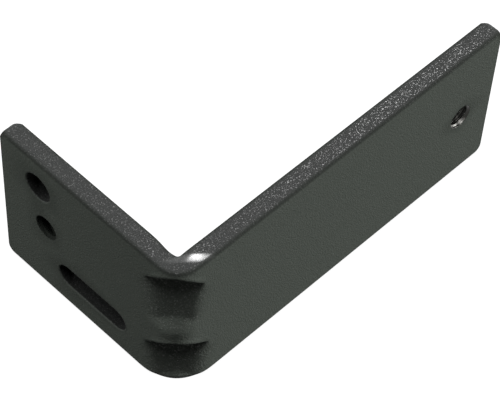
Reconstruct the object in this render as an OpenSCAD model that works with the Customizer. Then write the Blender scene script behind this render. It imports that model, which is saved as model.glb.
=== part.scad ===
// Spacer bracket: a flat steel bar folded to a right angle, standing on its long edge.
// Two pressed beads stiffen the fold. They are dents outside and ribs inside.
// The model is worked out from the outer corner of the fold, with the long leg along +X
// and the short leg along +Y, and is then moved so that the origin lies at the bottom
// centre of its box.

/* [Bar] */
// Width of the bar, which is the height of the standing bracket
bar_w = 40; // [38:0.5:60]
// Thickness of the bar
bar_t = 5; // [4:0.1:6]
// Radius along the edges of the bar and round its ends
edge_r = 0.8; // [0.4:0.1:1.2]
// Radius of the corners at the ends of the legs, seen on the face
corner_r = 3; // [1.5:0.5:8]

/* [Fold] */
// Length of the long leg, over the outer face of the short leg
long_leg = 95; // [70:1:200]
// Length of the short leg, over the outer face of the long leg
short_leg = 52; // [49:1:120]
// Radius inside the fold
fold_r = 0.5; // [0.3:0.1:1.5]

/* [Holes] */
// Diameter of the plain hole in the short leg
clear_d = 7; // [4:0.5:9]
// Distance of the plain hole from the end of the short leg
clear_from_end = 11.5; // [8:0.5:13]
// Distance of the plain hole below the top edge
clear_from_top = 8; // [7:0.5:9]
// Wall diameter of both tapped holes, drilled for the thread
tap_d = 5; // [3.3:0.1:6]
// Depth of the countersink at each mouth of a tapped hole
tap_chamfer = 0.5; // [0.2:0.1:0.8]
// Distance of the short leg's tapped hole from the end of that leg
short_tap_from_end = 13.5; // [10:0.5:15]
// Distance of the short leg's tapped hole below the top edge
short_tap_from_top = 19.5; // [18:0.5:20]
// Distance of the long leg's tapped hole from the end of that leg
long_tap_from_end = 10.5; // [7:0.5:20]

/* [Slot] */
// Length of the slot in the short leg, end to end
slot_len = 20; // [12:0.5:22]
// Width of the slot
slot_w = 6; // [4.5:0.5:7]
// Distance of the slot's middle from the outer face of the long leg
slot_from_corner = 25; // [24:0.5:28]
// Distance of the slot's middle above the bottom edge
slot_from_bottom = 9.5; // [8:0.5:11]

/* [Pressed beads] */
// Distance of the top bead's deepest line below the top edge
bead_from_top = 7.5; // [7:0.5:10]
// Distance from the deepest line of one bead to that of the next
bead_pitch = 22; // [21:0.5:24]
// Distance from the outer corner to where a deepest line comes out on each leg
bead_reach = 8.8; // [7.5:0.1:9.5]
// Lean of a dent's short upper wall, in degrees from upright
lip_lean = 37; // [33:1:45]
// Radius of the turn from a dent's deepest line into its upper wall
dent_r = 1.6; // [0.8:0.1:2.5]
// Radius of a dent's long lower wall, which is upright at the deepest line
tongue_r = 30; // [26:1:32]
// Radius of the turn from a rib's crest into its upper side
rib_r = 3; // [1.5:0.1:4]
// Metal left between a dent and its rib, straight across the corner
bead_wall = 4.6; // [4:0.1:5.5]

/* [Hidden] */
$fn = 96;
BEADS = 2;
// Flats that make up the two arcs of a bead's section
NOSE_STEPS = 6;
TONGUE_STEPS = 12;
// How far a cut runs on past the metal at each end
run_out = 1;
// How far a rib is rooted in the metal of the corner
rib_root = 0.5;
fold_outer_r = fold_r + bar_t;
// The deepest line of a dent, and the crest of its rib, behind the outer corner
dent_depth = bead_reach / sqrt(2);
rib_depth = dent_depth + bead_wall;

// The bar's section: w wide along X and bar_t thick along Y, with its four edges rounded
module bar_section(w) {
    translate([edge_r, 0]) square([w - 2 * edge_r, bar_t]);
    translate([0, edge_r]) square([w, bar_t - 2 * edge_r]);
    for (x = [edge_r, w - edge_r], y = [edge_r, bar_t - edge_r])
        translate([x, y]) circle(r = edge_r);
}

// The outer part of that section: cut straight at X = 0, with rounded edges at X = w
module rim_section(w) {
    square([w - edge_r, bar_t]);
    translate([0, edge_r]) square([w, bar_t - 2 * edge_r]);
    for (y = [edge_r, bar_t - edge_r])
        translate([w - edge_r, y]) circle(r = edge_r);
}

// A leg lying flat: X along it, Y across it and Z through it. It starts square at x = from
// and ends at x = to, with rounded corners.
module flat_leg(from, to) {
    corner_x = to - corner_r;
    translate([from, 0, 0]) rotate([90, 0, 90])
        linear_extrude(corner_x - from) bar_section(bar_w);
    translate([corner_x, bar_w - corner_r, 0]) rotate([90, 0, 0])
        linear_extrude(bar_w - 2 * corner_r) rim_section(corner_r);
    translate([corner_x, bar_w - corner_r, 0])
        rotate_extrude(angle = 90) rim_section(corner_r);
    translate([corner_x, corner_r, 0])
        rotate_extrude(angle = 90, start = 270) rim_section(corner_r);
}

// Stands what is drawn on a flat leg up as the long leg
module on_long_leg() {
    translate([0, bar_t, 0]) rotate([90, 0, 0]) children();
}

// Stands what is drawn on a flat leg up as the short leg
module on_short_leg() {
    rotate([90, 0, 90]) children();
}

// The quarter turn of bar that joins the legs
module fold() {
    translate([fold_outer_r, fold_outer_r, 0])
        rotate_extrude(angle = 90, start = 180)
            translate([fold_outer_r, 0]) rotate(90) bar_section(bar_w);
}

// A plain hole through a flat leg
module plain_hole(d) {
    translate([0, 0, -run_out]) cylinder(d = d, h = bar_t + 2 * run_out);
}

// A hole for a thread, countersunk at both mouths
module tapped_hole() {
    mouth_d = tap_d + 2 * (tap_chamfer + run_out);
    plain_hole(tap_d);
    translate([0, 0, -run_out])
        cylinder(d1 = mouth_d, d2 = tap_d, h = tap_chamfer + run_out);
    translate([0, 0, bar_t - tap_chamfer])
        cylinder(d1 = tap_d, d2 = mouth_d, h = tap_chamfer + run_out);
}

// A slot through a flat leg, running along it
module slot() {
    half_run = (slot_len - slot_w) / 2;
    translate([-half_run, -slot_w / 2, -run_out])
        cube([2 * half_run, slot_w, bar_t + 2 * run_out]);
    for (x = [-half_run, half_run])
        translate([x, 0, 0]) plain_hole(slot_w);
}

// Section of a bead in the plane that halves the fold. X runs inwards from the outer
// corner and Y upwards from the deepest line. Above that line an arc of radius r turns
// into the flat upper wall, and below it the lower wall is one arc out to X = 0.
module bead_section(depth, r) {
    nose = depth - r;
    tongue = depth - tongue_r;
    tongue_turn = acos(-tongue / tongue_r);
    polygon([
        [0, r * sin(lip_lean) + (nose + r * cos(lip_lean)) / tan(lip_lean)],
        for (i = [NOSE_STEPS : -1 : 1])
            let (a = i / NOSE_STEPS * lip_lean)
                [nose + r * cos(a), r * sin(a)],
        for (i = [0 : TONGUE_STEPS - 1])
            let (a = i / TONGUE_STEPS * tongue_turn)
                [tongue + tongue_r * cos(a), -tongue_r * sin(a)],
        [0, -tongue_r * sin(tongue_turn)]
    ]);
}

// Runs a bead's section straight across the corner, from leg to leg, at each bead's height
module each_bead(depth) {
    for (i = [0 : BEADS - 1])
        translate([0, 0, bar_w - bead_from_top - i * bead_pitch]) rotate([90, 0, 45])
            linear_extrude(2 * (depth + run_out), center = true) children();
}

// The dents, which are cut out of the outer corner
module dents() {
    each_bead(dent_depth) bead_section(dent_depth, dent_r);
}

// The ribs, which fill the inner corner as far as the dents push the metal in
module ribs() {
    root = bar_t - rib_root;
    span = sqrt(2) * rib_depth;
    intersection() {
        each_bead(rib_depth) bead_section(rib_depth, rib_r);
        translate([root, root, edge_r]) cube([span, span, bar_w - 2 * edge_r]);
    }
}

module bracket() {
    color("#3a3d3e")
    translate([-long_leg / 2, -short_leg / 2, 0])
    difference() {
        union() {
            fold();
            on_long_leg() flat_leg(fold_outer_r, long_leg);
            on_short_leg() flat_leg(fold_outer_r, short_leg);
            ribs();
        }
        dents();
        on_short_leg() {
            translate([short_leg - clear_from_end, bar_w - clear_from_top, 0])
                plain_hole(clear_d);
            translate([short_leg - short_tap_from_end, bar_w - short_tap_from_top, 0])
                tapped_hole();
            translate([slot_from_corner, slot_from_bottom, 0]) slot();
        }
        on_long_leg()
            translate([long_leg - long_tap_from_end, bar_w / 2, 0]) tapped_hole();
    }
}

bracket();
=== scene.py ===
"""Looks of the spacer bracket: a coated steel bar, folded, pressed and drilled, on a pale floor."""
from math import cos, hypot, pi, radians, sin, sqrt, tan

import bpy
from bpy.props import FloatProperty, FloatVectorProperty, PointerProperty
from mathutils import Matrix, Vector
from mathutils.geometry import delaunay_2d_cdt


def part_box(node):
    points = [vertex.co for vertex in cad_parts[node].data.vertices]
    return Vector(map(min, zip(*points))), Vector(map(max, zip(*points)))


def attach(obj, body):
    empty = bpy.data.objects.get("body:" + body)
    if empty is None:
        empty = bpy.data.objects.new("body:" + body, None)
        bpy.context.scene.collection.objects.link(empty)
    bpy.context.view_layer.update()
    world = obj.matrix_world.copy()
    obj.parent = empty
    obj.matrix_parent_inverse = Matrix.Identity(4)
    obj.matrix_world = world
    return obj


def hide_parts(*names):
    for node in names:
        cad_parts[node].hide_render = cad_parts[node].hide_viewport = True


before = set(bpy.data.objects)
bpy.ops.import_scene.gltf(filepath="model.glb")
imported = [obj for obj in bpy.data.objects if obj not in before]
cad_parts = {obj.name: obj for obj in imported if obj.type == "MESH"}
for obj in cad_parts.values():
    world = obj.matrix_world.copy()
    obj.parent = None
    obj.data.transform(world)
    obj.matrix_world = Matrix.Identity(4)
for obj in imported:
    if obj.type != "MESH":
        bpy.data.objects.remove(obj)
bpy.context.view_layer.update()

bl_info = {
    "name": "Spacer Bracket",
    "version": (1, 0, 0),
    "blender": (4, 5, 0),
    "location": "View3D > Sidebar > Bracket",
    "description": "Folds, presses and coats a flat bar bracket, and sets its studio",
    "category": "Add Mesh",
}

MM = 0.001
NODE = "bracket"
BOX_LOW, BOX_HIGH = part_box(NODE)
BOX_SIZE = BOX_HIGH - BOX_LOW


# Sizes and colours -----------------------------------------------------------------------

def length(name, description, default):
    """A size in metres, shown in the scene's unit."""
    return FloatProperty(
        name=name, description=description, default=default, min=0.0,
        unit="LENGTH", subtype="DISTANCE", precision=5,
    )


def share(name, description, default):
    """A plain number from 0 to 1."""
    return FloatProperty(
        name=name, description=description, default=default, min=0.0, max=1.0,
    )


def colour(name, description, default):
    """A colour as it lies on the surface."""
    return FloatVectorProperty(
        name=name, description=description, default=default, min=0.0, max=1.0,
        size=3, subtype="COLOR",
    )


def lean(name, description, degrees):
    """A lean or a turn, given in degrees and held in radians."""
    return FloatProperty(
        name=name, description=description, default=radians(degrees), min=0.0,
        max=radians(60), subtype="ANGLE", unit="ROTATION",
    )


def level(name, description, default):
    """How brightly a lamp lights a surface that faces it, where 1 shows a colour as it is."""
    return FloatProperty(name=name, description=description, default=default, min=0.0)


class BarSizes(bpy.types.PropertyGroup):
    """The bar and its fold."""

    long_leg: length("Long leg", "Over the outer face of the short leg", BOX_SIZE.x)
    short_leg: length("Short leg", "Over the outer face of the long leg", BOX_SIZE.y)
    width: length("Width", "Width of the bar, the bracket's height", BOX_SIZE.z)
    thickness: length("Thickness", "Thickness of the bar", 5 * MM)
    edge_radius: length("Edge radius", "Rounding along every edge of the bar", 0.85 * MM)
    corner_radius: length("Lower corners", "Radius at the foot of each leg's end", 2.2 * MM)
    top_corner_radius: length("Upper corners", "Radius at the top of each leg's end", 1.9 * MM)
    rounding: share("Rounding", "How much rounder the edges are at the upper corners", 0.8)
    fold_radius: length("Fold radius", "Radius inside the fold", 0.5 * MM)


class OpeningSizes(bpy.types.PropertyGroup):
    """Holes and slot. Places along a leg are from the outer corner of the fold."""

    mouth_radius: length("Mouth", "Rounding at the mouths of the plain openings", 0.35 * MM)
    clear_radius: length("Plain hole", "Radius of the plain hole", 3.5 * MM)
    clear_along: length("Plain hole along", "Its place along the short leg", 40.5 * MM)
    clear_up: length("Plain hole up", "Its height", 32 * MM)
    slot_radius: length("Slot", "Half the slot's width", 3 * MM)
    slot_half_run: length("Slot run", "Half the way between its end centres", 7 * MM)
    slot_along: length("Slot along", "Its place along the short leg", 25 * MM)
    slot_up: length("Slot up", "Its height", 9.5 * MM)
    short_tap_along: length("Short tap along", "Place along the short leg", 38.5 * MM)
    short_tap_up: length("Short tap up", "Its height", 20.5 * MM)
    long_tap_along: length("Long tap along", "Place along the long leg", 84.5 * MM)
    long_tap_up: length("Long tap up", "Its height", 20 * MM)
    crest_radius: length("Thread crest", "Radius to the crests of the thread", 2.5 * MM)
    thread_depth: length("Thread depth", "From the crests to the roots", 0.5 * MM)
    thread_pitch: length("Thread pitch", "One turn of the thread", 1 * MM)
    chamfer: length("Countersink", "Depth of the countersink at each mouth", 0.5 * MM)


class BeadSizes(bpy.types.PropertyGroup):
    """The two pressed beads. Depth runs inwards from the outer corner, across the fold."""

    top_height: length("Top bead", "Height of the top bead's deepest line", 33.3 * MM)
    pitch: length("Pitch", "From one deepest line down to the next", 22.3 * MM)
    depth: length("Top depth", "Depth of the top bead's deepest line", 5.9 * MM)
    lower_depth: length("Lower depth", "Depth of the lower bead's deepest line", 6.6 * MM)
    wall: length("Wall", "Metal between a dent and its rib", 4.6 * MM)
    lip_lean: lean("Top lip", "Lean of the top bead's short upper wall, from upright", 37)
    lower_lip_lean: lean("Lower lip", "The same for the lower bead", 41)
    turn: lean("Turn", "How far the top bead is turned towards the short leg", 7)
    long_lean: lean("Long lean", "Lean of the long lower wall, from upright", 8)
    long_drop: length("Top drop", "How far down it runs before it leans out", 10.5 * MM)
    lower_drop: length("Lower drop", "The same for the lower bead", 9.4 * MM)
    end_lean: lean("End lean", "Lean of its lower end, from upright", 38)
    bend: length("Bend", "Softness between the long wall and its lower end", 0.5 * MM)
    nose: length("Nose", "Softness along a dent's deepest line", 0.7 * MM)
    crest: length("Crest", "Softness along a rib's crest", 1.5 * MM)
    lip: length("Lip", "Softness where the upper wall meets the legs", 0.8 * MM)
    side: length("Sides", "Softness of the long wall's sides", 3.2 * MM)
    side_reach: length("Side reach", "How far down they reach that softness", 4 * MM)
    end_side: length("End sides", "Softness of the lower end's sides", 1.5 * MM)
    crown: length("Crown", "How far the lower end falls back at its sides", 1 * MM)
    crown_width: length("Crown width", "Where it has fallen back that far", 4 * MM)
    pile: length("Pile", "Metal raised above each lip", 0.2 * MM)
    pile_width: length("Pile width", "Width of the raised metal", 0.6 * MM)
    dip: length("Dip", "How far the top edge sinks beside the fold", 1.1 * MM)
    dip_spread: length("Dip spread", "How wide that dip is", 2.7 * MM)
    bulge: length("Bulge", "How far the metal squeezed inside the fold stands up", 0.55 * MM)
    bulge_spread: length("Bulge spread", "How wide that bulge is", 3 * MM)


class CoatLook(bpy.types.PropertyGroup):
    """The powder coat and the bare thread."""

    body: colour("Coat", "Body colour of the coat", (0.056, 0.063, 0.055))
    # Darker than the body colour: painted shade that tones down the top face, which the lamps light
    # most
    cut: colour("Cut edges", "The coat over the cut edges of the bar", (0.040, 0.0415, 0.0405))
    fleck: colour("Flecks", "Colour of the fine bright flecks", (0.24, 0.24, 0.235))
    grain: length("Grain", "Size of the coat's fine grain", 0.31 * MM)
    steel: colour("Steel", "Bare cut steel", (0.40, 0.39, 0.37))
    # Painted shade: a dark colour over most of the bare thread, for the shade inside the tapped
    # hole
    thread_shade: colour("Thread shade", "Painted shade over most of the thread", (0.03, 0.03, 0.028))
    burnish_place: FloatVectorProperty(
        name="Burnish", description="Where the press has smoothed the top edge", size=3,
        default=(-0.0411, -0.0234, 0.0395), unit="LENGTH", subtype="TRANSLATION",
    )


class StudioSetup(bpy.types.PropertyGroup):
    """Floor, lamps and sky."""

    floor: colour("Floor", "Colour of the floor as the bracket sees it", (0.06, 0.06, 0.06))
    sky: share("Sky", "Level of the soft light from all round", 0.05)
    overhead: level("Overhead", "Softbox above, a little to the front", 1.0)
    long_side: level("Long side", "Softbox along the fold, on the long leg's side", 1.35)
    short_side: level("Short side", "Softbox along the fold, on the short leg's side", 0.62)
    key: level("Key", "Small lamp above and behind", 0.5)
    inner: level("Inner", "Softbox that looks into the fold", 0.8)


# Node trees ------------------------------------------------------------------------------

class Wiring:
    """Adds nodes to a tree and links them, so that a rule reads like its formula."""

    ROWS = 8                        # Nodes in one column of the layout
    COLUMN, ROW = 190, 170          # Width of a column and height of a row
    FIRST, SECOND, MIXED = 6, 7, 2  # A Mix node's colour inputs and its colour output

    def __init__(self, tree):
        self.tree = tree

    def node(self, kind, values=None, **settings):
        """One node. values maps an input's name or place to a number or to a socket."""
        node = self.tree.nodes.new(kind)
        count = len(self.tree.nodes)
        node.location = (count // self.ROWS * self.COLUMN, -(count % self.ROWS) * self.ROW)
        for setting, value in settings.items():
            setattr(node, setting, value)
        for key, value in (values or {}).items():
            self.feed(node.inputs[key], value)
        return node

    def feed(self, socket, value):
        """Links a socket to another, or sets its value."""
        if isinstance(value, bpy.types.NodeSocket):
            self.tree.links.new(value, socket)
        else:
            socket.default_value = value

    def math(self, operation, *values):
        """The output of one Math node."""
        return self.node(
            "ShaderNodeMath", dict(enumerate(values)), operation=operation
        ).outputs[0]

    def ramp(self, value, start, end, low=0.0, high=1.0, kind="SMOOTHSTEP"):
        """Runs from low to high while the value runs from start to end."""
        return self.node("ShaderNodeMapRange", {
            "Value": value, "From Min": start, "From Max": end, "To Min": low, "To Max": high,
        }, interpolation_type=kind).outputs["Result"]

    def blend(self, factor, first, second):
        """Mixes two colours. Each is three numbers or a socket."""
        first, second = (
            each if isinstance(each, bpy.types.NodeSocket) else (*each, 1.0)
            for each in (first, second)
        )
        values = {"Factor": factor, self.FIRST: first, self.SECOND: second}
        return self.node("ShaderNodeMix", values, data_type="RGBA").outputs[self.MIXED]

    def bump(self, height, strength, distance):
        """A normal that follows a height."""
        values = {"Height": height, "Strength": strength, "Distance": distance}
        return self.node("ShaderNodeBump", values).outputs[0]

    def store(self, geometry, name, value, data_type="FLOAT", domain="POINT"):
        """The geometry with a named attribute."""
        return self.node("GeometryNodeStoreNamedAttribute", {
            "Geometry": geometry, "Name": name, "Value": value,
        }, data_type=data_type, domain=domain).outputs[0]

    def group(self, tree, values):
        """A group placed in this tree."""
        kind = tree.bl_idname.replace("Tree", "Group")
        node = self.node(kind, node_tree=tree)
        for key, value in values.items():
            self.feed(node.inputs[key], value)
        return node


def new_group(name, kind, inputs, outputs):
    """An empty node group with named sockets. Returns its wiring, its inputs and its sink."""
    tree = bpy.data.node_groups.new(name, kind)
    for side, sockets in (("INPUT", inputs), ("OUTPUT", outputs)):
        for socket_name, socket_kind in sockets:
            tree.interface.new_socket(
                name=socket_name, in_out=side, socket_type="NodeSocket" + socket_kind
            )
    wiring = Wiring(tree)
    given = wiring.node("NodeGroupInput").outputs
    sink = wiring.node("NodeGroupOutput").inputs
    return wiring, given, sink


def floats(*names):
    """Sockets for plain numbers."""
    return [(name, "Float") for name in names]


def set_inputs(modifier, values):
    """Gives a Geometry Nodes modifier its inputs, by their identifiers."""
    sockets = {
        item.name: item.identifier
        for item in modifier.node_group.interface.items_tree
        if item.in_out == "INPUT"
    }
    for name, value in values.items():
        modifier[sockets[name]] = value


# The flat blank --------------------------------------------------------------------------

WELD = 0.001 * MM        # Points closer than this are one
BARE = "bare_thread"     # Attribute of the faces that carry no coat
EDGE = "edge"            # Attribute that is 1 along rounded edges, where the coat gets painted shade
CUT = "cut"              # Attribute that is 1 on the cut edges of the bar
OPENING = "opening"      # Attribute that is 1 on the walls of the openings, where the coat gets painted shade
MOUTH_MARK = 0.25        # Its value round their mouths, where the painted shade is lighter
PRESSED = "pressed"      # Attribute that is 1 where the beads have moved the surface
PRESSED_FULL = 0.6 * MM  # By this much or more
TURN_STEPS = 16          # Steps in a quarter turn of an opening's rim
CORNER_STEPS = 10        # Steps in a quarter turn at a leg's corner
EDGE_STEPS = 6           # Steps across a rounded edge
MOUTH_STEPS = 3          # Steps across the rounded mouth of an opening
WALL_STEPS = 8           # Steps through the thickness
GUARD = 0.2 * MM         # Flat strip that keeps an edge's shading off the face
FINE = 0.3 * MM          # Mesh size at the fold
FINE_REACH = 15 * MM     # Half the length of bar that has it
COARSE = 4 * MM          # Mesh size far from the fold
GROWTH = 0.3             # How fast the mesh size grows between them
END_STEP = 5 * FINE      # Mesh size down the legs' ends
STAGGER = 0.25           # How far points shift, by turns down and up, in mesh sizes
ROOM = 0.5               # Least distance of a point from a rim, in mesh sizes
SAME = 1e-6              # Distance below which two points of a face are one, in mm


def mesh_size(u):
    """The distance from point to point on a face, at a place along the bar."""
    return min(COARSE, FINE + max(0.0, abs(u) - FINE_REACH) * GROWTH)


def round_box(low, high, steps, stops=(), sharper=0.0):
    """Anchors and directions round a box in the plane, counter-clockwise. The point at a
    distance r from the box is anchor + r * direction. stops are places along its length.
    The radius of the two upper corners is smaller than r by sharper."""
    corners = [(high[0], high[1]), (low[0], high[1]), (low[0], low[1]), (high[0], low[1])]
    loop = []
    for k, corner in enumerate(corners):
        saved = sharper if k < 2 else 0.0
        side = 1 if k in (0, 3) else -1
        for j in range(steps + 1):
            angle = (k + j / steps) * pi / 2
            du, dv = round(cos(angle), 12), round(sin(angle), 12)
            loop.append((corner[0] + saved * (side - du), corner[1] + saved * (1 - dv), du, dv))
        way = loop[-1][2:]
        if k % 2:
            start, end = (high[1] + sharper, low[1])[::1 if k == 1 else -1]
            count = int(abs(end - start) / END_STEP)
            run = [(corner[0], start + (end - start) * i / count) for i in range(1, count)]
        else:
            inside = [u for u in stops if low[0] + FINE < u < high[0] - FINE]
            run = [(u, corner[1]) for u in (inside[::-1] if k == 0 else inside)]
        loop.extend((*place, *way) for place in run)
    return [p for i, p in enumerate(loop) if p != loop[i - 1]]


def quarter(radius, steps):
    """(way out, depth) over a quarter round, from the face to the wall it turns into."""
    return [
        (radius * (1 - sin(a)), radius * (1 - cos(a)))
        for a in (i / steps * pi / 2 for i in range(steps + 1))
    ]


def through_section(radius, steps, thickness):
    """(way out, depth) from one face, over its edge, down the wall and out at the other."""
    start = [(radius + GUARD, 0.0)] + quarter(radius, steps)
    free = thickness - 2 * radius
    wall = [(0.0, radius + free * i / WALL_STEPS) for i in range(1, WALL_STEPS)]
    return start + wall + [(out, thickness - depth) for out, depth in start[::-1]]


def spread_stops(low, high):
    """Places along the bar, close together at the fold and growing apart away from it."""
    stops = [0.0]
    for sign, limit in ((1, high), (-1, -low)):
        place = 0.0
        while place < limit:
            place += mesh_size(place)
            stops.append(sign * place)
    return sorted(u for u in stops if low < u < high)


class Blank:
    """The bar before it is folded. It stands on edge along X, with its outer face at Y = 0
    and the middle of the fold to be at X = 0."""

    def __init__(self):
        self.points, self.faces, self.walls = [], [], []

    def add_rings(self, loop, section_at, grow, inwards):
        """Sweeps a section round a loop. section_at gives the section for a direction
        in the loop's plane, and grow maps the section's way out to a distance
        from the loop's box. Returns the first and last ring as lists of point numbers."""
        sections = [section_at(du, dv) for _, _, du, dv in loop]
        rings = []
        for step in zip(*sections):
            rings.append(range(len(self.points), len(self.points) + len(loop)))
            for (u, v, du, dv), (out, depth) in zip(loop, step):
                r = grow(out)
                self.points.append((u + r * du, depth, v + r * dv))
            if inwards:
                self.walls.append((rings[-1], MOUTH_MARK if step[0][0] else 1.0))
        for a, b in zip(rings, rings[1:]):
            for j in range(len(loop)):
                i = j - 1
                face = (a[i], a[j], b[j], b[i])
                self.faces.append(face if inwards else face[::-1])
        return rings[0], rings[-1]

    def add_face(self, edge, openings, depth, stops, low, high, clear_of):
        """Fills a face of the bar between its edge ring and the rings of its openings."""
        flat, links, owner = [], [], []
        for ring in (edge, *openings):
            start = len(flat)
            flat.extend((self.points[n][0], self.points[n][2]) for n in ring)
            owner.extend(ring)
            count = len(flat) - start
            links.extend((start + j, start + (j + 1) % count) for j in range(count))
        for column, u in enumerate(stops):
            step = mesh_size(u)
            shift = 0.5 - STAGGER if column % 2 else 0.5 + STAGGER
            for row in range(int((high - low) / step)):
                v = low + (row + shift) * step
                if clear_of(u, v) > ROOM * step:
                    flat.append((u, v))
                    owner.append(len(self.points))
                    self.points.append((u, depth, v))
        places, _, triangles, origins, *_ = delaunay_2d_cdt(
            [Vector((u / MM, v / MM)) for u, v in flat], links, [], 0, SAME
        )
        number = [owner[min(origin)] for origin in origins]
        for corner in triangles:
            middle = sum((places[n] for n in corner), Vector((0, 0))) / len(corner)
            if clear_of(middle.x * MM, middle.y * MM) > 0:
                a, b, c = (places[n] for n in corner)
                left = (b - a).cross(c - a) > 0
                face = [number[n] for n in (corner if left == (depth == 0) else corner[::-1])]
                self.faces.append(face)


def flat_blank(bar, holes):
    """The blank as a mesh, open where the tapped holes go. Returns it with the length that
    the fold adds to each place along a leg, which is below 0."""
    outer = bar.fold_radius + bar.thickness
    spare = outer * pi / 4 - outer
    low, high = -(bar.short_leg + spare), bar.long_leg + spare
    stops = spread_stops(low, high)
    corner, width = bar.corner_radius, bar.width
    sharper = corner - bar.top_corner_radius
    blank = Blank()

    def rounded(du, dv):
        """The edge's radius, largest at the middle of an upper corner."""
        return bar.edge_radius * (1 + bar.rounding * max(0.0, 2 * abs(du) * dv))

    def edge_section(du, dv):
        """The section of the bar's edge where it faces the given way."""
        return through_section(rounded(du, dv), EDGE_STEPS, bar.thickness)

    outline = round_box(
        (low + corner, corner), (high - corner, width - corner), CORNER_STEPS, stops, sharper
    )
    front, back = blank.add_rings(
        outline, edge_section, lambda out: corner - out, inwards=False
    )
    mouth = through_section(holes.mouth_radius, MOUTH_STEPS, bar.thickness)
    fronts, backs, rims = [], [], []
    for along, up, radius, half_run in (
        (holes.clear_along, holes.clear_up, holes.clear_radius, 0.0),
        (holes.slot_along, holes.slot_up, holes.slot_radius, holes.slot_half_run),
    ):
        u = -(along + spare)
        loop = round_box((u - half_run, up), (u + half_run, up), TURN_STEPS, stops)
        first, last = blank.add_rings(
            loop, lambda du, dv: mouth, lambda out, radius=radius: radius + out, inwards=True
        )
        fronts.append(first)
        backs.append(last)
        rims.append((u, up, radius + holes.mouth_radius + GUARD, half_run))
    tap_mouth = holes.crest_radius + holes.chamfer
    for u, up in (
        (-(holes.short_tap_along + spare), holes.short_tap_up),
        (holes.long_tap_along + spare, holes.long_tap_up),
    ):
        loop = round_box((u, up), (u, up), TURN_STEPS)
        for rings, strip in (
            (fronts, [(GUARD, 0.0), (0.0, 0.0)]),
            (backs, [(0.0, bar.thickness), (GUARD, bar.thickness)]),
        ):
            first, last = blank.add_rings(
                loop, lambda du, dv, strip=strip: strip, lambda out: tap_mouth + out,
                inwards=True,
            )
            rings.append(first if rings is fronts else last)
        rims.append((u, up, tap_mouth + GUARD, 0.0))

    inset = bar.edge_radius + GUARD

    def clear_of(u, v):
        """How far a place on a face lies from the nearest rim, below 0 where no metal is."""
        turn = corner - sharper if v > width / 2 else corner
        du = abs(u - (low + high) / 2) - ((high - low) / 2 - turn)
        dv = abs(v - width / 2) - (width / 2 - turn)
        over = hypot(max(du, 0.0), max(dv, 0.0))
        kept = inset
        if over and v > width / 2:
            kept = GUARD + rounded(max(du, 0.0) / over, max(dv, 0.0) / over)
        edge = turn - kept - over - min(max(du, dv), 0.0)
        return min([edge] + [
            hypot(max(abs(u - cu) - run, 0.0), v - cv) - radius
            for cu, cv, radius, run in rims
        ])

    blank.add_face(front, fronts, 0.0, stops, inset, width - inset, clear_of)
    blank.add_face(back, backs, bar.thickness, stops, inset, width - inset, clear_of)
    mesh = bpy.data.meshes.new(NODE)
    mesh.from_pydata(blank.points, [], blank.faces)
    # The openings' mark, which the coat turns into painted shade
    opening = mesh.attributes.new(OPENING, "FLOAT", "POINT")
    for ring, mark in blank.walls:
        for point in ring:
            opening.data[point].value = mark
    return mesh, spare


# Rules for the bar -----------------------------------------------------------------------

FLANK = (0.12, 0.9)      # Where a thread's flank starts and ends, from its crest to its root
THREAD_STEPS = 50        # Steps of the threaded wall through the thickness
BEADS = 2
LIP_REACH = 0.7          # Share of a dent's depth down to which the pile above it is whole
DIP_PLACE = (-1.5 * MM, 8.3 * MM)    # Middle of the top edge's dip: across, and inwards
BULGE_PLACE = (0.3 * MM, 6.8 * MM)   # Middle of the bulge beside it
EDGE_REACH = 6 * MM      # How far down they both fade out


def thread_tree():
    """One threaded wall along Y. It is a sheet of turns by depth, rolled up and closed."""
    t, given, sink = new_group(
        "Threaded wall", "GeometryNodeTree",
        floats("Crest Radius", "Thread Depth", "Pitch", "Countersink", "Thickness")
        + [("Turn Steps", "Int"), ("Depth Steps", "Int")],
        [("Mesh", "Geometry")],
    )
    sheet = t.node("GeometryNodeMeshGrid", {
        "Size X": 1.0, "Size Y": 1.0,
        "Vertices X": t.math("ADD", given["Turn Steps"], 1),
        "Vertices Y": t.math("ADD", given["Depth Steps"], 1),
    })
    place = t.node("ShaderNodeSeparateXYZ", {0: t.node("GeometryNodeInputPosition").outputs[0]})
    turn = place.outputs["X"]
    depth = t.math("MULTIPLY", t.math("ADD", place.outputs["Y"], 0.5), given["Thickness"])
    phase = t.math("FRACT", t.math("ADD", t.math("DIVIDE", depth, given["Pitch"]), turn))
    wave = t.math("ABSOLUTE", t.math("MULTIPLY_ADD", phase, 2.0, -1.0))
    flank = t.ramp(wave, *FLANK, kind="LINEAR")
    cut = t.math("MULTIPLY_ADD", flank, given["Thread Depth"], given["Crest Radius"])
    rest = t.math("SUBTRACT", given["Thickness"], depth)
    mouth = t.math("ADD", given["Crest Radius"], given["Countersink"])
    cone = t.math("SUBTRACT", mouth, t.math("MINIMUM", depth, rest))
    radius = t.math("MAXIMUM", cut, cone)
    angle = t.math("MULTIPLY", turn, 2 * pi)
    rolled = t.node("ShaderNodeCombineXYZ", {
        "X": t.math("MULTIPLY", radius, t.math("COSINE", angle)),
        "Y": depth,
        "Z": t.math("MULTIPLY", radius, t.math("SINE", angle)),
    })
    moved = t.node("GeometryNodeSetPosition", {
        "Geometry": sheet.outputs["Mesh"], "Position": rolled.outputs[0],
    })
    closed = t.node("GeometryNodeMergeByDistance", {
        "Geometry": moved.outputs[0], "Distance": WELD,
    })
    t.feed(sink["Mesh"], closed.outputs[0])
    return t.tree


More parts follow.
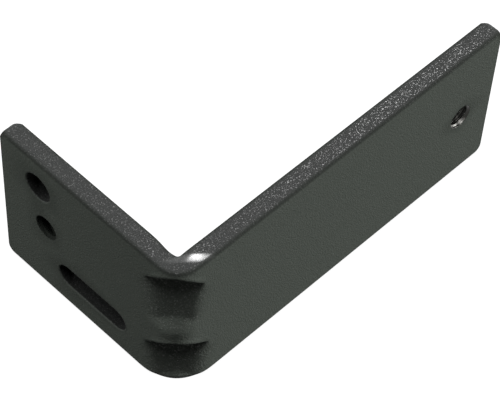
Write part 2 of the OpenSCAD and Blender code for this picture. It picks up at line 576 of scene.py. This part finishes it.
def bead_tree():
    """Presses one bead. Inwards is how far a point lies behind the outer corner, before and
    after. Height is its height above the bead's deepest line. Through runs from 0 on the
    outer face to 1 on the inner one."""
    t, given, sink = new_group(
        "Press a bead", "GeometryNodeTree",
        floats("Inwards", "Across", "Height", "Through", "Depth", "Turn", "Wall", "Lip Slope",
               "Long Slope", "Long Drop", "End Slope", "Bend", "Nose", "Crest", "Lip", "Side",
               "Side Reach", "End Side", "Crown", "Crown Width"),
        floats("Inwards", "Lip Wall"),
    )
    straight = t.math("MULTIPLY_ADD", given["Wall"], given["Through"], given["Depth"])
    base = t.math("SUBTRACT", straight, t.math("MULTIPLY", given["Across"], given["Turn"]))
    lip_wall = t.math("SUBTRACT", base, t.math("MULTIPLY", given["Height"], given["Lip Slope"]))
    long_wall = t.math("MULTIPLY_ADD", given["Height"], given["Long Slope"], base)
    end_wall = t.math(
        "MULTIPLY_ADD", t.math("ADD", given["Height"], given["Long Drop"]), given["End Slope"],
        t.math("SUBTRACT", base, t.math("MULTIPLY", given["Long Drop"], given["Long Slope"])),
    )
    nose = t.node("ShaderNodeMix", {
        "Factor": given["Through"], "A": given["Nose"], "B": given["Crest"],
    }, data_type="FLOAT").outputs["Result"]
    softness = t.ramp(
        t.math("MULTIPLY", given["Height"], -1.0), 0.0, given["Side Reach"],
        given["Lip"], given["Side"],
    )
    dent = t.math(
        "SMOOTH_MAX", given["Inwards"], t.math("SMOOTH_MIN", lip_wall, long_wall, nose), softness
    )
    aside = t.math("DIVIDE", given["Across"], given["Crown Width"])
    crowned = t.math("MULTIPLY_ADD", t.math("POWER", aside, 2.0), given["Crown"], end_wall)
    end = t.math("SMOOTH_MAX", given["Inwards"], crowned, given["End Side"])
    shaped = t.math("SMOOTH_MIN", dent, end, given["Bend"])
    t.feed(sink["Inwards"], t.math("MAXIMUM", given["Inwards"], shaped))
    t.feed(sink["Lip Wall"], lip_wall)
    return t.tree


def bracket_tree():
    """Sets the threads in the blank, folds it, presses the beads and gives it its finish."""
    t, given, sink = new_group(
        "Fold and press", "GeometryNodeTree",
        [("Blank", "Geometry"), ("Short Tap", "Vector"), ("Long Tap", "Vector"),
         ("Turn Steps", "Int"), ("Depth Steps", "Int")]
        + floats("Thickness", "Width", "Fold Radius", "Crest Radius", "Thread Depth", "Pitch",
                 "Countersink", "Top Height", "Bead Pitch", "Depth", "Lower Depth", "Turn",
                 "Wall", "Lip Slope", "Lower Lip Slope", "Long Slope", "Long Drop",
                 "Lower Long Drop", "End Slope", "Bend", "Nose", "Crest", "Lip", "Side",
                 "Side Reach", "End Side", "Crown", "Crown Width", "Pile", "Pile Width",
                 "Dip", "Dip Spread", "Bulge", "Bulge Spread")
        + [("Corner", "Vector"), ("Coat", "Material"), ("Bare Thread", "Material")],
        [("Bracket", "Geometry")],
    )
    m = t.math

    # Threads, one at each tapped hole
    thread = t.group(thread_tree(), {
        name: given[name] for name in
        ("Crest Radius", "Thread Depth", "Pitch", "Countersink", "Thickness", "Turn Steps",
         "Depth Steps")
    })
    number = t.node("GeometryNodeInputIndex").outputs[0]
    middle = t.node("GeometryNodeSwitch", {
        "Switch": number, "False": given["Short Tap"], "True": given["Long Tap"],
    }, input_type="VECTOR").outputs[0]
    taps = t.node("GeometryNodePoints", {"Count": 2, "Position": middle})
    threads = t.node("GeometryNodeRealizeInstances", {0: t.node(
        "GeometryNodeInstanceOnPoints",
        {"Points": taps.outputs[0], "Instance": thread.outputs[0]},
    ).outputs[0]})
    position = t.node("GeometryNodeInputPosition").outputs[0]
    u, depth, height = t.node("ShaderNodeSeparateXYZ", {0: position}).outputs
    # The threads count as openings, so the coat on the short leg's thread gets painted shade
    bored = t.store(threads.outputs[0], OPENING, 1.0)
    threaded = t.store(bored, BARE, m("GREATER_THAN", u, 0.0), "BOOLEAN", "FACE")

    # The blank's rounded edges and its cut edges, by the way they face
    facing = t.node("ShaderNodeSeparateXYZ", {0: t.node("GeometryNodeInputNormal").outputs[0]})
    straight = m("ABSOLUTE", facing.outputs["Y"])
    aside = m("SQRT", m("MAXIMUM", m("SUBTRACT", 1.0, m("POWER", straight, 2.0)), 0.0))
    # The edge mark sets the painted shade along the coat's rounded edges
    edged = t.store(given["Blank"], EDGE, m("MULTIPLY", m("MULTIPLY", straight, aside), 2.0))
    rimmed = t.store(edged, CUT, m("SUBTRACT", 1.0, straight))
    joined = t.node("GeometryNodeJoinGeometry")
    for part in (threaded, rimmed):
        t.feed(joined.inputs[0], part)
    welded = t.node("GeometryNodeMergeByDistance", {
        "Geometry": joined.outputs[0], "Distance": WELD,
    })

    # The fold. Across runs from leg to leg, and inwards from the outer corner.
    outer = m("ADD", given["Fold Radius"], given["Thickness"])
    turn = m("MINIMUM", m("MAXIMUM", m("DIVIDE", u, outer), -pi / 4), pi / 4)
    rest = m("SUBTRACT", u, m("MULTIPLY", turn, outer))
    radius = m("SUBTRACT", outer, depth)
    across = m("MULTIPLY_ADD", rest, sqrt(0.5), m("MULTIPLY", radius, m("SINE", turn)))
    leg = m("MULTIPLY_ADD", m("ABSOLUTE", rest), sqrt(0.5), m("MULTIPLY", outer, sqrt(2)))
    inwards = m("SUBTRACT", leg, m("MULTIPLY", radius, m("COSINE", turn)))
    through = m("DIVIDE", depth, given["Thickness"])

    # The beads, and the metal raised above their lips
    walls = bead_tree()
    pressed, raised = inwards, 0.0
    for bead in range(BEADS):
        line = m("MULTIPLY_ADD", given["Bead Pitch"], -bead, given["Top Height"])
        one = t.group(walls, {
            "Inwards": pressed, "Across": across, "Height": m("SUBTRACT", height, line),
            "Through": through, "Depth": given["Lower Depth" if bead else "Depth"],
            "Turn": 0.0 if bead else given["Turn"],
            "Lip Slope": given["Lower Lip Slope" if bead else "Lip Slope"],
            "Long Drop": given["Lower Long Drop" if bead else "Long Drop"],
            **{name: given[name] for name in
               ("Wall", "Long Slope", "End Slope", "Bend", "Nose", "Crest", "Lip", "Side",
                "Side Reach", "End Side", "Crown", "Crown Width")},
        })
        pressed = one.outputs["Inwards"]
        gap = m("SUBTRACT", inwards, one.outputs["Lip Wall"])
        off = m("DIVIDE", m("SUBTRACT", gap, given["Pile Width"]), given["Pile Width"])
        raised = m("MULTIPLY_ADD", m("EXPONENT", m("MULTIPLY", m("POWER", off, 2.0), -1.0)),
                   given["Pile"], raised)
    reach = t.ramp(inwards, given["Depth"], m("MULTIPLY", given["Depth"], LIP_REACH))
    outside = m("MULTIPLY", reach, m("SUBTRACT", 1.0, through))
    sunk = m("DIVIDE", m("SUBTRACT", pressed, inwards), PRESSED_FULL)
    dented = t.store(welded.outputs[0], PRESSED, m("MINIMUM", m("MAXIMUM", sunk, 0.0), 1.0))
    pressed = m("SUBTRACT", pressed, m("MULTIPLY", raised, outside))

    # The top edge sinks on the short leg beside the fold, and bulges inside the fold
    edge = t.ramp(height, m("SUBTRACT", given["Width"], EDGE_REACH), given["Width"])
    lifted = 0.0
    for name, place, sign in (("Dip", DIP_PLACE, -1.0), ("Bulge", BULGE_PLACE, 1.0)):
        offs = [m("DIVIDE", m("SUBTRACT", way, centre), given[name + " Spread"])
                for way, centre in zip((across, inwards), place)]
        far = m("ADD", *(m("POWER", off, 2.0) for off in offs))
        hill = m("MULTIPLY", m("EXPONENT", m("MULTIPLY", far, -1.0)), m("MULTIPLY", edge, sign))
        lifted = m("MULTIPLY_ADD", hill, given[name], lifted)

    folded = t.node("ShaderNodeCombineXYZ", {
        "X": m("MULTIPLY", m("ADD", pressed, across), sqrt(0.5)),
        "Y": m("MULTIPLY", m("SUBTRACT", pressed, across), sqrt(0.5)),
        "Z": m("ADD", height, lifted),
    })
    placed = t.node("ShaderNodeVectorMath", {0: folded.outputs[0], 1: given["Corner"]},
                    operation="ADD")
    shaped = t.node("GeometryNodeSetPosition", {
        "Geometry": dented, "Position": placed.outputs[0],
    })
    smooth = t.node("GeometryNodeSetShadeSmooth", {"Geometry": shaped.outputs[0]})
    real = t.node("GeometryNodeRealizeInstances", {"Geometry": smooth.outputs[0]})
    coated = t.node("GeometryNodeSetMaterial", {
        "Geometry": real.outputs[0], "Material": given["Coat"],
    })
    bare = t.node("GeometryNodeInputNamedAttribute", {"Name": BARE}, data_type="BOOLEAN")
    cut = t.node("GeometryNodeSetMaterial", {
        "Geometry": coated.outputs[0], "Selection": bare.outputs["Attribute"],
        "Material": given["Bare Thread"],
    })
    t.feed(sink["Bracket"], cut.outputs[0])
    return t.tree


# Finishes --------------------------------------------------------------------------------

ASKEW = (0.6, 0.35, 0.5)     # Turns the grain out of line with the flat faces
BUMP_SHARE = 0.75            # Scale of the grain's round bumps, to its own
BUMP_HEIGHT = 0.6            # Their height beside the fine noise
FLECKS = (0.57, 0.72)        # Noise at which a fleck starts, and at which it is whole
CLOUD_SHARE = 0.03           # Scale of the cloud beside the grain's

EDGE_PAINTED_SHADE = 0.6             # Painted shade: how much darker the coat is made along the rounded edges
OPENING_PAINTED_SHADE = 0.75         # Painted shade: how much darker the coat is made inside the openings
NOT_OPEN = 0.01              # Mark of the openings below which a surface isn't one of them
PRESSED_FLECKS = 0.7         # Flecks in the dents, as a share of those on the cut edges
FLECK_TINT = (0.25, 0.1)     # Their tint: what a cut edge adds to a plain face's
FLECK_GLOSS = (0.45, 0.05)   # Their gloss, in the same way
COAT_ROUGHNESS = (0.12, 0.45)    # What the cloud adds, and what it adds to
GLOSS_ROUGHNESS = 0.25
GLOSS_IOR = 1.5
COAT_BUMP = (0.8, 0.2 * MM)      # Strength and distance
BURNISH_ALONG = Vector((0.8, -0.6, 0.0))    # The way the burnished patch runs
BURNISH_ACROSS = Vector((0.6, 0.8, 0.0))
BURNISH_HALF = 5.0 * MM                     # Half its length, and half its width
BURNISH_HALF_WIDTH = 1.0 * MM
BURNISH_FADE = (1.3, 0.5)    # Where it starts and where it is whole, in half sizes

STEEL_GRAIN = 0.5            # Its grain beside the coat's
STEEL_SHOWN = (0.58, 0.75)   # Cloud at which the painted shade on the thread starts to give way to steel, and is gone
STEEL_ROUGHNESS = (0.2, 0.25)    # As for the coat
STEEL_BUMP = (0.2, 0.03 * MM)


def grain_group():
    """The fine grain of a coated or cut surface: a height for its bump, a mask of its flecks
    and a broad cloud."""
    t, given, sink = new_group(
        "Fine grain", "ShaderNodeTree",
        [("Vector", "Vector")] + floats("Grain Size"),
        floats("Height", "Fleck", "Cloud"),
    )
    scale = t.math("DIVIDE", 1.0, given["Grain Size"])
    askew = t.node("ShaderNodeMapping", {"Vector": given["Vector"], "Rotation": ASKEW}).outputs[0]
    fine = t.node("ShaderNodeTexNoise", {
        "Vector": askew, "Scale": scale, "Detail": 2.0, "Roughness": 0.6,
    })
    bumps = t.node("ShaderNodeTexVoronoi", {
        "Vector": askew, "Scale": t.math("MULTIPLY", scale, BUMP_SHARE),
    }, feature="SMOOTH_F1")
    height = t.math("MULTIPLY_ADD", bumps.outputs["Distance"], BUMP_HEIGHT, fine.outputs["Fac"])
    cloud = t.node("ShaderNodeTexNoise", {
        "Vector": given["Vector"], "Scale": t.math("MULTIPLY", scale, CLOUD_SHARE),
        "Detail": 3.0,
    })
    t.feed(sink["Height"], height)
    t.feed(sink["Fleck"], t.ramp(fine.outputs["Fac"], *FLECKS, kind="LINEAR"))
    t.feed(sink["Cloud"], cloud.outputs["Fac"])
    return t.tree


def new_material(name):
    """A material with a Principled shader. Returns it, its wiring and the shader's inputs."""
    material = bpy.data.materials.new(name)
    material.use_nodes = True
    material.node_tree.nodes.clear()
    wiring = Wiring(material.node_tree)
    shader = wiring.node("ShaderNodeBsdfPrincipled")
    wiring.node("ShaderNodeOutputMaterial", {"Surface": shader.outputs[0]})
    return material, wiring, shader.inputs


def coat_material(look, grain):
    """Dark grey fine-textured powder coat with a metallic sparkle. Painted shade darkens it along
    the rounded edges and inside the openings, and the darker cut-edge colour tones down the top
    face.
    """
    material, t, shader = new_material("powder_coat")
    place = t.node("ShaderNodeTexCoord").outputs["Object"]
    fine = t.group(grain, {"Vector": place, "Grain Size": look.grain}).outputs
    edge, cut, opening, pressed = (
        t.node("ShaderNodeAttribute", attribute_name=name).outputs["Fac"]
        for name in (EDGE, CUT, OPENING, PRESSED)
    )
    rough = t.math("MAXIMUM", cut, t.math("MULTIPLY", pressed, PRESSED_FLECKS))
    bright = t.math("MULTIPLY", fine["Fleck"], t.math("MULTIPLY_ADD", rough, *FLECK_TINT))
    # The darker cut-edge colour is painted shade on the top face
    flecked = t.blend(bright, t.blend(cut, look.body, look.cut), look.fleck)
    # Painted shade: the coat is made darker along the rounded edges and inside the openings
    shaded_rim = t.math("MULTIPLY", edge, t.math("LESS_THAN", opening, NOT_OPEN))
    painted_shade = t.math(
        "MAXIMUM", t.math("MULTIPLY", shaded_rim, EDGE_PAINTED_SHADE), t.math("MULTIPLY", opening, OPENING_PAINTED_SHADE)
    )
    t.feed(shader["Base Color"], t.blend(painted_shade, flecked, (0.0, 0.0, 0.0)))
    t.feed(shader["Roughness"], t.math("MULTIPLY_ADD", fine["Cloud"], *COAT_ROUGHNESS))
    shader["Specular IOR Level"].default_value = 0.0
    off = t.node("ShaderNodeVectorMath", {0: place, 1: look.burnish_place},
                 operation="SUBTRACT").outputs[0]
    spans = [
        t.node("ShaderNodeVectorMath", {0: off, 1: way}, operation="DOT_PRODUCT").outputs["Value"]
        for way in (BURNISH_ALONG / BURNISH_HALF, BURNISH_ACROSS / BURNISH_HALF_WIDTH)
    ]
    far = t.math("SQRT", t.math("ADD", *(t.math("POWER", span, 2.0) for span in spans)))
    burnish = t.ramp(far, *BURNISH_FADE)
    sparkle = t.math("MULTIPLY", fine["Fleck"], t.math("MULTIPLY_ADD", rough, *FLECK_GLOSS))
    sheen = t.math("MAXIMUM", sparkle, t.math("MULTIPLY", burnish, cut))
    t.feed(shader["Coat Weight"], t.math("MULTIPLY", sheen, t.math("SUBTRACT", 1.0, opening)))
    shader["Coat Roughness"].default_value = GLOSS_ROUGHNESS
    shader["Coat IOR"].default_value = GLOSS_IOR
    t.feed(shader["Normal"], t.bump(fine["Height"], *COAT_BUMP))
    return material


def steel_material(look, grain):
    """Bare steel of a thread cut after coating, darkened with painted shade over most of it."""
    material, t, shader = new_material("bare_thread")
    place = t.node("ShaderNodeTexCoord").outputs["Object"]
    fine = t.group(grain, {"Vector": place, "Grain Size": look.grain * STEEL_GRAIN}).outputs
    unshaded = t.ramp(fine["Cloud"], *STEEL_SHOWN)
    t.feed(shader["Base Color"], t.blend(unshaded, look.thread_shade, look.steel))
    shader["Metallic"].default_value = 1.0
    t.feed(shader["Roughness"], t.math("MULTIPLY_ADD", fine["Cloud"], *STEEL_ROUGHNESS))
    t.feed(shader["Normal"], t.bump(fine["Height"], *STEEL_BUMP))
    return material


# Studio ----------------------------------------------------------------------------------

CAMERA_PLACE = Vector((-0.21348, -0.19347, 0.37737))    # In metres
CAMERA_RIGHT = Vector((0.7071, -0.7061, 0.0382))
CAMERA_DOWN = Vector((-0.5462, -0.5797, -0.6046))
CAMERA_LENS = 155.58         # In mm, as the sensor's width is
SENSOR = 36.0
CLIP = (0.01, 50.0)          # What the camera sees lies between these, in metres
LAMP_TARGET = Vector((0.0, 0.0, 0.02))
LAMPS = (                    # Azimuth and elevation in degrees, distance and size in metres
    ("overhead", -135, 77, 1.4, 0.66),
    ("long_side", -45, 5, 1.4, 0.30),
    ("short_side", 135, 7, 0.36, 0.10),
    ("key", 30, 52, 1.4, 0.20),
    ("inner", 40, 6, 1.4, 0.26),
)
FLOOR_HALF = 20.0            # Half the floor's width, in metres
SHOWN_FLOOR = (0.8, 0.8, 0.8)
FLOOR_GLOW = 1.1             # Strength of the glow that makes the floor show white
GLOW_SHARE = 0.8             # How much of what shows is that glow


# Operators -------------------------------------------------------------------------------

class OBJECT_OT_folded_bracket(bpy.types.Operator):
    """Makes the bracket from its flat blank, and puts it in the CAD node's place"""

    bl_idname = "object.folded_bracket"
    bl_label = "Folded Bracket"
    bl_options = {"REGISTER", "UNDO"}

    def execute(self, context):
        scene = context.scene
        bar, holes, beads = scene.bracket_bar, scene.bracket_openings, scene.bracket_beads
        mesh, spare = flat_blank(bar, holes)
        bracket = bpy.data.objects.new("folded_bracket", mesh)
        scene.collection.objects.link(bracket)
        grain = grain_group()
        look = scene.bracket_look
        modifier = bracket.modifiers.new("Fold and press", "NODES")
        modifier.node_group = bracket_tree()
        set_inputs(modifier, {
            "Short Tap": (-(holes.short_tap_along + spare), 0.0, holes.short_tap_up),
            "Long Tap": (holes.long_tap_along + spare, 0.0, holes.long_tap_up),
            "Turn Steps": 4 * TURN_STEPS, "Depth Steps": THREAD_STEPS,
            "Thickness": bar.thickness, "Width": bar.width, "Fold Radius": bar.fold_radius,
            "Crest Radius": holes.crest_radius, "Thread Depth": holes.thread_depth,
            "Pitch": holes.thread_pitch, "Countersink": holes.chamfer,
            "Top Height": beads.top_height, "Bead Pitch": beads.pitch,
            "Depth": beads.depth, "Lower Depth": beads.lower_depth, "Turn": tan(beads.turn),
            "Wall": beads.wall, "Lip Slope": tan(beads.lip_lean),
            "Lower Lip Slope": tan(beads.lower_lip_lean),
            "Long Slope": tan(beads.long_lean), "Long Drop": beads.long_drop,
            "Lower Long Drop": beads.lower_drop,
            "End Slope": tan(beads.end_lean), "Bend": beads.bend,
            "Nose": beads.nose, "Crest": beads.crest,
            "Lip": beads.lip, "Side": beads.side, "Side Reach": beads.side_reach,
            "End Side": beads.end_side, "Crown": beads.crown,
            "Crown Width": beads.crown_width,
            "Pile": beads.pile, "Pile Width": beads.pile_width,
            "Dip": beads.dip, "Dip Spread": beads.dip_spread,
            "Bulge": beads.bulge, "Bulge Spread": beads.bulge_spread,
            "Corner": tuple(BOX_LOW),
            "Coat": coat_material(look, grain), "Bare Thread": steel_material(look, grain),
        })
        depsgraph = context.evaluated_depsgraph_get()
        finished = bpy.data.meshes.new_from_object(
            bracket.evaluated_get(depsgraph), depsgraph=depsgraph
        )
        bracket.modifiers.remove(modifier)
        bracket.data = finished
        if not finished.polygons:
            raise RuntimeError("the bracket's tree made no mesh")
        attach(bracket, "root")
        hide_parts(NODE)
        return {"FINISHED"}


class SCENE_OT_bracket_studio(bpy.types.Operator):
    """Sets the floor, the sky, the lamps and the camera"""

    bl_idname = "scene.bracket_studio"
    bl_label = "Bracket Studio"
    bl_options = {"REGISTER", "UNDO"}

    def execute(self, context):
        scene, studio = context.scene, context.scene.bracket_studio
        scene.view_settings.view_transform = "Standard"
        self.add_floor(scene, studio)
        self.add_sky(scene, studio)
        for name, azimuth, elevation, reach, size in LAMPS:
            angles = (radians(azimuth), radians(elevation))
            self.add_lamp(scene, name, angles, reach, size, getattr(studio, name))
        self.add_camera(scene)
        return {"FINISHED"}

    def add_lamp(self, scene, name, angles, reach, size, strength):
        """A round lamp that looks at the bracket and isn't seen itself."""
        azimuth, elevation = angles
        data = bpy.data.lights.new(name, "AREA")
        data.shape, data.size = "DISK", size
        data.energy = strength * (pi * reach) ** 2
        lamp = bpy.data.objects.new(name, data)
        scene.collection.objects.link(lamp)
        way = Vector((
            cos(elevation) * cos(azimuth), cos(elevation) * sin(azimuth), sin(elevation),
        ))
        lamp.location = LAMP_TARGET + reach * way
        lamp.rotation_euler = (-way).to_track_quat("-Z", "Y").to_euler()
        lamp.visible_camera = False

    def seen_white(self, t):
        """1 for the rays that show the background: to the camera, in gloss and in glass."""
        path = t.node("ShaderNodeLightPath").outputs
        seen = t.math("MAXIMUM", path["Is Camera Ray"], path["Is Glossy Ray"])
        return t.math("MAXIMUM", seen, path["Is Transmission Ray"])

    def add_floor(self, scene, studio):
        """A wide pale floor that shows white and keeps the bracket's shadow."""
        half = FLOOR_HALF
        mesh = bpy.data.meshes.new("floor")
        mesh.from_pydata(
            [(-half, -half, 0), (half, -half, 0), (half, half, 0), (-half, half, 0)],
            [], [(0, 1, 2, 3)],
        )
        floor = bpy.data.objects.new("floor", mesh)
        scene.collection.objects.link(floor)
        material = bpy.data.materials.new("floor")
        material.use_nodes = True
        material.node_tree.nodes.clear()
        t = Wiring(material.node_tree)
        seen = self.seen_white(t)
        tone = t.blend(seen, studio.floor, SHOWN_FLOOR)
        matt = t.node("ShaderNodeBsdfDiffuse", {"Color": tone})
        white = t.node("ShaderNodeEmission", {"Strength": FLOOR_GLOW})
        mixed = t.node("ShaderNodeMixShader", {
            0: t.math("MULTIPLY", seen, GLOW_SHARE), 1: matt.outputs[0], 2: white.outputs[0],
        })
        t.node("ShaderNodeOutputMaterial", {"Surface": mixed.outputs[0]})
        mesh.materials.append(material)

    def add_sky(self, scene, studio):
        """A soft light from all round that shows white."""
        world = bpy.data.worlds.new("studio")
        world.use_nodes = True
        world.node_tree.nodes.clear()
        t = Wiring(world.node_tree)
        strength = t.math("MULTIPLY_ADD", self.seen_white(t), 1.0 - studio.sky, studio.sky)
        sky = t.node("ShaderNodeBackground", {
            "Color": (1.0, 1.0, 1.0, 1.0), "Strength": strength,
        })
        t.node("ShaderNodeOutputWorld", {"Surface": sky.outputs[0]})
        scene.world = world

    def add_camera(self, scene):
        """A long lens above the fold's corner, rolled a little to the side."""
        data = bpy.data.cameras.new("camera")
        data.lens, data.sensor_width, data.sensor_fit = CAMERA_LENS, SENSOR, "HORIZONTAL"
        data.clip_start, data.clip_end = CLIP
        camera = bpy.data.objects.new("camera", data)
        scene.collection.objects.link(camera)
        back = CAMERA_RIGHT.cross(-CAMERA_DOWN)
        turn = Matrix((CAMERA_RIGHT, -CAMERA_DOWN, back)).transposed()
        camera.matrix_world = Matrix.Translation(CAMERA_PLACE) @ turn.to_4x4()
        scene.camera = camera


class VIEW3D_PT_bracket(bpy.types.Panel):
    """The bracket's sizes and its operators"""

    bl_label = "Spacer Bracket"
    bl_space_type = "VIEW_3D"
    bl_region_type = "UI"
    bl_category = "Bracket"

    def draw(self, context):
        layout = self.layout
        for title, (name, group) in SETTINGS.items():
            box = layout.box()
            box.label(text=title)
            held = getattr(context.scene, name)
            for setting in group.__annotations__:
                box.prop(held, setting)
        for operator in OPERATORS:
            layout.operator(operator.bl_idname)


SETTINGS = {
    "Bar": ("bracket_bar", BarSizes),
    "Openings": ("bracket_openings", OpeningSizes),
    "Beads": ("bracket_beads", BeadSizes),
    "Finish": ("bracket_look", CoatLook),
    "Studio": ("bracket_studio", StudioSetup),
}
OPERATORS = (OBJECT_OT_folded_bracket, SCENE_OT_bracket_studio)
CLASSES = (*(group for _, group in SETTINGS.values()), *OPERATORS, VIEW3D_PT_bracket)


def register():
    for each in CLASSES:
        bpy.utils.register_class(each)
    for name, group in SETTINGS.values():
        setattr(bpy.types.Scene, name, PointerProperty(type=group))


def unregister():
    for name, _ in SETTINGS.values():
        delattr(bpy.types.Scene, name)
    for each in reversed(CLASSES):
        bpy.utils.unregister_class(each)


def main():
    """Registers the add-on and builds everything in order."""
    register()
    bpy.ops.object.folded_bracket()
    bpy.ops.scene.bracket_studio()


if __name__ == "__main__":
    main()
